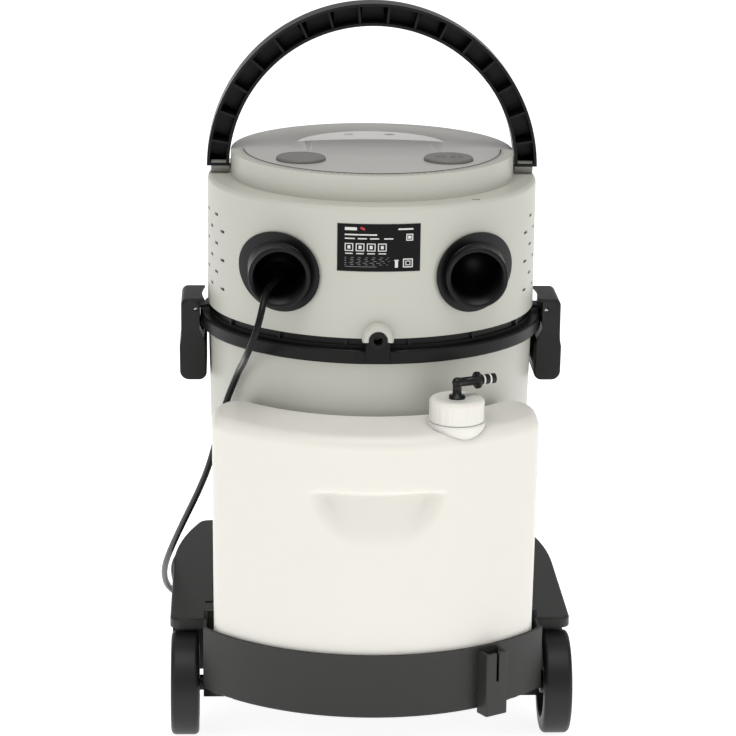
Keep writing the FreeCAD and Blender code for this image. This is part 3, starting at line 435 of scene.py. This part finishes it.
# The roof is a sheet drawn between the four chains of the top row, each point the sum of the two
# straight blends less the blend of the four corners, then given the height of the crown.
wall[..., 2] += crown(wall)
count_rows, count_cols = wall.shape[:2]
index = np.arange(count_rows * count_cols).reshape(count_rows, count_cols)
nxt = np.roll(index, -1, axis=1)
faces = np.stack([index[:-1], nxt[:-1], nxt[1:], index[1:]], axis=-1).reshape(-1, 4).tolist()
faces.append(index[0][::-1].tolist())
rim = index[-1]
splits = [back_count, back_count + side_count, 2 * back_count + side_count]
back_rim, right_rim, inner_rim, left_rim = np.split(rim, splits)
right_rim = np.concatenate([back_rim[-1:], right_rim, inner_rim[:1]])
left_rim = np.concatenate([inner_rim[-1:], left_rim, back_rim[:1]])[::-1]
inner_rim = inner_rim[::-1]
spots = wall.reshape(-1, 3)
u = np.linspace(0, 1, back_count)[:, None, None]
v = np.linspace(0, 1, side_count + 2)[None, :, None]
side_a, side_b = spots[back_rim][:, None], spots[inner_rim][:, None]
end_a, end_b = spots[left_rim][None], spots[right_rim][None]
roof = (1 - v) * side_a + v * side_b + (1 - u) * end_a + u * end_b
roof -= (1 - v) * ((1 - u) * side_a[0] + u * side_a[-1]) + v * ((1 - u) * side_b[0] + u * side_b[-1])
roof[..., 2] = crown_z
roof[..., 2] += crown(roof)
grid = len(spots) + np.arange(back_count * (side_count + 2)).reshape(back_count, side_count + 2)
spots = np.concatenate([spots, roof.reshape(-1, 3)])
grid[:, 0] = back_rim
grid[:, -1] = inner_rim
grid[0] = left_rim
grid[-1] = right_rim
patch = np.stack([grid[:-1, :-1], grid[1:, :-1], grid[1:, 1:], grid[:-1, 1:]], axis=-1)
faces += patch.reshape(-1, 4).tolist()
tank_mesh = bpy.data.meshes.new("solution_tank_wall")
tank_mesh.from_pydata(spots.tolist(), [], faces)
loose = bmesh.new()
loose.from_mesh(tank_mesh)
bmesh.ops.delete(loose, geom=[v for v in loose.verts if not v.link_faces], context="VERTS")
loose.to_mesh(tank_mesh)
loose.free()
tank_mesh.shade_smooth()
tank_mesh.set_sharp_from_angle(angle=math.radians(50))
milky = moulded("milky_polyethylene", (0.745, 0.725, 0.672), rough=0.36, grain=260, depth=0.05, mottle=0.012)
milky_shader = milky.node_tree.nodes["Principled BSDF"]
milky_shader.inputs["Subsurface Weight"].default_value = 0.55
milky_shader.inputs["Subsurface Radius"].default_value = (1.0, 0.95, 0.8)
milky_shader.inputs["Subsurface Scale"].default_value = 0.012
tank_piece = add_piece("solution_tank_wall", tank_mesh, milky, "solution_tank")
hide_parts("solution_tank")


# ---- tank neck, cap and outlet elbow ---------------------------------------------------------
# The neck pad is part of the blow moulding. The screwed cap is natural polypropylene with soft
# finger grooves, and the black elbow turns in it, with two pale seals on its stub.
def turned_piece(name, profile, centre, columns, ripple=None):
    """Closed ring of rows about an upright line: a closed profile of (radius, height) points is
    carried once round centre; ripple(turn, height, radius) may change each point's radius."""
    profile = np.array(profile)
    turn = np.linspace(0, 2 * np.pi, columns, endpoint=False)
    turn, reach = np.meshgrid(turn, profile[:, 0], indexing="ij")
    height = np.broadcast_to(profile[:, 1], reach.shape)
    if ripple is not None:
        reach = ripple(turn, height, reach)
    spots = np.stack([centre[0] + reach * np.cos(turn), centre[1] + reach * np.sin(turn), height], axis=-1)
    index = np.arange(turn.size).reshape(turn.shape)
    right = np.roll(index, -1, axis=0)
    up = np.roll(index, -1, axis=1)
    quads = np.stack([index, right, np.roll(right, -1, axis=1), up], axis=-1).reshape(-1, 4)
    mesh = bpy.data.meshes.new(name)
    mesh.from_pydata(spots.reshape(-1, 3).tolist(), [], quads.tolist())
    mesh.shade_smooth()
    mesh.set_sharp_from_angle(angle=math.radians(50))
    return mesh


cap_low, cap_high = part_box("tank_cap")
cap_centre = ((cap_low.x + cap_high.x) / 2, (cap_low.y + cap_high.y) / 2)
cap_r = (cap_high.x - cap_low.x) / 2
pad_r = cap_r + 0.0012
pad_top = cap_low.z - 0.0007
pad_bend = np.radians(np.linspace(0, 90, 6))
pad_round = 0.002
pad_profile = [(0.0165, crown_z - 0.016), (pad_r - 0.008, crown_z - 0.016)]
pad_profile += [(pad_r - 0.0006, crown_z - 0.002), (pad_r, pad_top - pad_round)]
pad_profile += list(zip(pad_r - pad_round + pad_round * np.cos(pad_bend),
                        pad_top - pad_round + pad_round * np.sin(pad_bend)))
pad_profile += [(0.0195, pad_top)]
neck_mesh = turned_piece("tank_neck", pad_profile, cap_centre, 96)
add_piece("tank_neck", neck_mesh, milky, "solution_tank")
round_r = 0.0045
cap_bend = np.radians(np.linspace(0, 90, 8))
cap_top = cap_high.z
cap_profile = [(0.0226, cap_low.z), (cap_r - 0.0006, cap_low.z), (cap_r, cap_low.z + 0.0008)]
cap_profile += [(cap_r, h) for h in np.linspace(cap_low.z + 0.002, cap_top - round_r - 0.0005, 10)]
cap_profile += list(zip(cap_r - round_r + round_r * np.cos(cap_bend),
                        cap_top - round_r + round_r * np.sin(cap_bend)))
cap_profile += [(0.0165, cap_top), (0.0155, cap_top - 0.0006), (0.0095, cap_top - 0.0006),
                (0.0082, cap_top - 0.0012), (0.0082, cap_top - 0.007), (0.0226, cap_top - 0.008)]


groove_deep = 0.00028


def finger_grooves(turn, height, reach):
    """24 soft grooves: the radius drops by groove_deep times the fourth power of a cosine, and the
    groove fades out over 3 mm below the rounded top edge."""
    groove = (0.5 + 0.5 * np.cos(24 * turn)) ** 4
    fade = np.clip((cap_top - 0.0052 - height) / 0.003, 0, 1) * (reach > cap_r - 0.001)
    return reach - groove_deep * groove * fade


cap_white = moulded("cap_polypropylene", (0.75, 0.735, 0.68), rough=0.34, grain=500, depth=0.05, mottle=0.015)
cap_shader = cap_white.node_tree.nodes["Principled BSDF"]
cap_shader.inputs["Subsurface Weight"].default_value = 0.15
cap_shader.inputs["Subsurface Scale"].default_value = 0.006
cap_mesh = turned_piece("tank_cap_skin", cap_profile, cap_centre, 288, finger_grooves)
cap_piece = add_piece("tank_cap_skin", cap_mesh, cap_white, "cap")
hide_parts("tank_cap")
elbow_black = moulded("elbow_nylon", (0.004, 0.004, 0.004), rough=0.3, grain=900, depth=0.08, shine=0.3)
casing_copy("outlet_elbow", elbow_black, centres=())
silicone = moulded("seal_silicone", (0.72, 0.71, 0.66), rough=0.45, grain=900, depth=0.05)
casing_copy("outlet_seals", silicone, centres=())

# ---- motor head: base, shell, ports and label ------------------------------------------------
# The satin ABS shell screws onto a black base whose ribs show in the open channel. Two black
# port sleeves with saddle flanges are pushed through it, and a foil label is stuck between them.
base_channel = moulded("base_nylon", (0.003, 0.003, 0.003), rough=0.4, grain=900, depth=0.1, shine=0.2)
casing_copy("head_base", base_channel)
head_abs = moulded("head_abs", (0.485, 0.483, 0.428), rough=0.4, grain=1300, depth=0.1, mottle=0.015)
casing_copy("head_shell", head_abs)
port_rubber = moulded("port_rubber", (0.0032, 0.0032, 0.0032), rough=0.36, grain=700, depth=0.1, shine=0.22)
casing_copy("exhaust_port_left", port_rubber)
casing_copy("exhaust_port_right", port_rubber)
casing_copy("cord_gland", port_rubber, centres=())
label_black = moulded("label_foil", (0.003, 0.003, 0.003), rough=0.3, grain=500, depth=0.03, shine=0.12)
casing_copy("rating_label", label_black)
label_low, label_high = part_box("rating_label")
label_mid = (label_low.z + label_high.z) / 2
print_r = 0.17042


def printed(name, patches, colour):
    """Thin ink patches on the label: each (x0, x1, z0, z1) in millimetres from the label's middle
    is a 7 by 2 grid wrapped round the head's radius, so that it follows the curved foil."""
    spots = []
    faces = []
    for x0, x1, z0, z1 in patches:
        along = np.linspace(x0, x1, 7) / 1000 / print_r
        turn, height = np.meshgrid(along, np.array([z0, z1]) / 1000, indexing="ij")
        grid = np.stack([print_r * np.sin(turn), -print_r * np.cos(turn), label_mid + height], axis=-1)
        first = len(spots)
        spots += grid.reshape(-1, 3).tolist()
        for k in range(6):
            a = first + 2 * k
            faces.append((a, a + 2, a + 3, a + 1))
    mesh = bpy.data.meshes.new(name)
    mesh.from_pydata(spots, [], faces)
    ink = moulded(name, colour, rough=0.35, grain=600, depth=0.02)
    return add_piece(name, mesh, ink, "machine")


def frame_of(x0, z0, x1, z1, t):
    """Four strips of width t round a rectangle."""
    return [(x0, x1, z0, z0 + t), (x0, x1, z1 - t, z1), (x0, x0 + t, z0, z1), (x1 - t, x1, z0, z1)]


marks = [(-34, -22, 17.5, 20.5), (19, 34, 18, 19.6)]
marks += [(-34, -2, 12.4, 13.8)]
marks += [(x0, x1, 8.6, 9.8) for x0, x1 in ((-34, -24), (-21, -12), (-9, 0), (5, 14))]
for left in (-34, -23, -12, -1):
    marks += frame_of(left, -3.5, left + 8.5, 4.5, 0.9)
    marks += [(left + 2.8, left + 5.7, -1.2, 2.2), (left + 0.5, left + 8, -6.4, -5.4)]
marks += frame_of(27, 7, 34, 14, 1.0) + frame_of(24, -20, 34, -11, 1.1)
marks += frame_of(26.5, -17.8, 31.5, -13.2, 0.8)
marks += [(28.8, 32.2, 9, 12), (16, 19, -20, -12), (15.2, 19.8, -13.2, -12.2)]
printed("label_marks", marks, (0.62, 0.62, 0.6))
faint = [(-34, 10, -10.2, -9.7), (-34, 8, -12.0, -11.5), (-34, 11, -13.8, -13.3), (-34, 6, -15.6, -15.1),
         (-34, 9, -17.4, -16.9), (-34, -2, -19.4, -18.9)]
printed("label_lines", faint, (0.16, 0.16, 0.16))
red_bar = [(-17, -15.4, 18.2, 20.4), (-15.6, -14, 17.6, 19.8), (-18.4, -16.8, 18.8, 21)]
printed("label_red_bar", red_bar, (0.45, 0.02, 0.02))

# A pale half-round collar closes the arch of the shell round the solution socket: five rows of
# (radius, y), each carried over 196 degrees about the socket's axis.
boss_z = 0.442
collar_rows = ((0.0094, -0.172), (0.0094, -0.1815), (0.0118, -0.1822), (0.0150, -0.1800), (0.0160, -0.172))
collar_turn = np.radians(np.linspace(-8, 188, 40))
collar = []
for reach, depth in collar_rows:
    across = reach * np.cos(collar_turn)
    collar.append(np.column_stack([across, np.full(40, depth), boss_z + reach * np.sin(collar_turn)]))
collar = np.array(collar)
index = np.arange(200).reshape(5, 40)
quads = np.stack([index[:-1, :-1], index[:-1, 1:], index[1:, 1:], index[1:, :-1]], axis=-1).reshape(-1, 4)
collar_mesh = bpy.data.meshes.new("socket_collar")
collar_mesh.from_pydata(collar.reshape(-1, 3).tolist(), [], quads[:, ::-1].tolist())
collar_mesh.shade_smooth()
add_piece("socket_collar", collar_mesh, head_abs, "machine")

# ---- top cover, plate, status panel and foot switches ----------------------------------------
# The cover is the same satin ABS with a raised rim at the rear. A grey plate lies inside the rim
# with a pale crescent panel, and two round foot switches stand through it on springs.
casing_copy("top_cover", head_abs)
plate_grey = moulded("plate_abs", (0.46, 0.445, 0.425), rough=0.34, grain=1100, depth=0.08, mottle=0.015)
casing_copy("top_plate", plate_grey)
panel_white = moulded("panel_acrylic", (0.88, 0.87, 0.84), rough=0.22, grain=300, depth=0.02, coat=0.4)
casing_copy("crescent_panel", panel_white, centres=())
pad_grey = moulded("switch_pad", (0.17, 0.16, 0.152), rough=0.42, grain=800, depth=0.2)
casing_copy("foot_switch_left", pad_grey, centres=())
casing_copy("foot_switch_right", pad_grey, centres=())


def raised_ring(centre, mid_r, half_w, low, top, stretch=1.0):
    """Embossed ring: half-round section of half-width half_w on a circle of mid_r, stretched along
    x, standing from low to top."""
    section = np.radians(np.linspace(0, 180, 7))
    turn = np.linspace(0, 2 * np.pi, 48, endpoint=False)
    turn, part = np.meshgrid(turn, section, indexing="ij")
    reach = mid_r + half_w * np.cos(part)
    spots = np.stack([centre[0] + stretch * reach * np.cos(turn), centre[1] + reach * np.sin(turn),
                      low + (top - low) * np.sin(part)], axis=-1)
    index = np.arange(turn.size).reshape(turn.shape)
    right = np.roll(index, -1, axis=0)
    quads = np.stack([index[:, :-1], index[:, 1:], right[:, 1:], right[:, :-1]], axis=-1).reshape(-1, 4)
    close = np.stack([index[:, -1], index[:, 0], right[:, 0], right[:, -1]], axis=-1)
    return spots.reshape(-1, 3), np.concatenate([quads, close])


def emboss(name, rings, paint, body):
    """Joins several raised rings in one mesh with outward faces."""
    spots = []
    faces = []
    for ring in rings:
        points, quads = raised_ring(*ring)
        faces += (quads + len(spots)).tolist()
        spots += points.tolist()
    mesh = bpy.data.meshes.new(name)
    mesh.from_pydata(spots, [], faces)
    form = bmesh.new()
    form.from_mesh(mesh)
    bmesh.ops.recalc_face_normals(form, faces=form.faces)
    form.to_mesh(mesh)
    form.free()
    mesh.shade_smooth()
    return add_piece(name, mesh, paint, body)


# Painted shade: a dark half-round bead in the gap between the plate and the cover's rim, rear only.
plate_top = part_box("top_plate")[1].z
bead_mid_r = 0.13285
bead_half = 0.0005
bead_turn = np.linspace(math.pi * 1.012, math.pi * 1.988, 160)
bead_part = np.radians(np.linspace(0, 180, 5))
bead_turn, bead_part = np.meshgrid(bead_turn, bead_part, indexing="ij")
bead_reach = bead_mid_r + bead_half * np.cos(bead_part)
bead_spots = np.stack([bead_reach * np.cos(bead_turn), bead_reach * np.sin(bead_turn),
                       plate_top - 0.0002 + 0.0006 * np.sin(bead_part)], axis=-1)
index = np.arange(bead_turn.size).reshape(bead_turn.shape)
quads = np.stack([index[:-1, :-1], index[1:, :-1], index[1:, 1:], index[:-1, 1:]], axis=-1).reshape(-1, 4)
bead_mesh = bpy.data.meshes.new("plate_gap_shade_bead")
bead_mesh.from_pydata(bead_spots.reshape(-1, 3).tolist(), [], quads.tolist())
bead_mesh.shade_smooth()
add_piece("plate_gap_shade_bead", bead_mesh, seal_and_gap_shade_rubber, "machine")
for side, joint in (("left", "vacuum_switch_press"), ("right", "pump_switch_press")):
    low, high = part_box("foot_switch_" + side)
    coil = casing_copy("switch_spring_" + side, zinc, centres=())
    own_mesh(coil)
    middle = ((low.x + high.x) / 2, (low.y + high.y) / 2)
    rim = (high.x - low.x) / 2
    rings = [(middle, rim - 0.0016, 0.0006, high.z - 0.0003, high.z + 0.0003)]
    if side == "right":
        for shift, size in ((-0.0085, 0.0052), (0.0085, 0.0062)):
            icon = (middle[0] + shift, middle[1] + 0.001)
            rings.append((icon, size, 0.0011, high.z - 0.0004, high.z + 0.0007))
            rings.append((icon, size * 0.4, 0.0009, high.z - 0.0004, high.z + 0.0006))
    emboss("switch_marks_" + side, rings, pad_grey, "foot_switch_" + side)
panel_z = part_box("crescent_panel")[1].z
panel_ink = moulded("panel_ink", (0.30, 0.29, 0.28), rough=0.4, grain=500, depth=0.03)
icons = []
for across, mid_r, half_w, stretch in ((-0.0215, 0.0028, 0.0012, 1.3), (0.0215, 0.0028, 0.0012, 1.5),
                                       (0.0215, 0.0009, 0.0008, 1.5)):
    icons.append(((across, 0.0745), mid_r, half_w, panel_z - 0.0003, panel_z + 0.0002, stretch))
emboss("panel_icons", icons, panel_ink, "machine")

# ---- carrying handle -------------------------------------------------------------------------
# A half hoop of glass-filled nylon, open at the back with thin ribs across the channel, that
# folds on two grey hubs and steel pins.
hoop_nylon = moulded("hoop_nylon", (0.0032, 0.0032, 0.0032), rough=0.34, grain=900, depth=0.1, shine=0.2)
hoop_centre = (0.0, 0.581)
casing_copy("handle", hoop_nylon, crease=20.0, centres=(hoop_centre,), plane=(0, 2))
casing_copy("handle_hubs", moulded("hub_abs", (0.20, 0.20, 0.18), rough=0.45, grain=900), centres=())
casing_copy("handle_pins", zinc, centres=())

# ---- side latches ----------------------------------------------------------------------------
# Black nylon levers that hinge on lugs of the head base and hook over the ring.
lever_nylon = moulded("lever_nylon", (0.0075, 0.0073, 0.007), rough=0.42, grain=900, depth=0.15, scuff=0.2,
                      shine=0.25)
for side in ("left", "right"):
    casing_copy("latch_" + side, lever_nylon, centres=())
casing_copy("latch_pins", zinc, centres=())

# ---- inner works and small hardware ----------------------------------------------------------
# Fan, motor, pump, float valve, switches and screws keep their made shapes; each gets the finish
# of its stuff: turned aluminium, steel, black nylon, grey rubber, open foam and brass.
can_metal = moulded("motor_can", (0.60, 0.60, 0.59), rough=0.38, grain=1500, depth=0.08)
can_metal.node_tree.nodes["Principled BSDF"].inputs["Metallic"].default_value = 1.0
inner_nylon = moulded("inner_nylon", (0.05, 0.05, 0.052), rough=0.45, grain=900, depth=0.12)
brass = moulded("plug_brass", (0.72, 0.60, 0.34), rough=0.28, grain=1500, depth=0.05)
brass.node_tree.nodes["Principled BSDF"].inputs["Metallic"].default_value = 1.0
filter_foam = moulded("filter_foam", (0.03, 0.03, 0.032), rough=0.95, grain=420, depth=1.0, mottle=0.3)
stuff = {"motor_metal": can_metal, "inner_plastic": inner_nylon, "brass_pins": brass, "foam": filter_foam,
         "steel": zinc, "rubber_black": lead_pvc, "wheel_black": hub_plastic, "gloss_black": hub_plastic,
         "base_black": base_black, "head_grey": head_abs, "tank_grey": drum_grey, "plate_grey": plate_grey,
         "pad_grey": pad_grey}
for entry in frame["record"]["subparts"]:
    holder = frame["nodes"][entry["node"]]
    if entry["material_slot"] in stuff:
        holder.data.materials.clear()
        holder.data.materials.append(stuff[entry["material_slot"]])
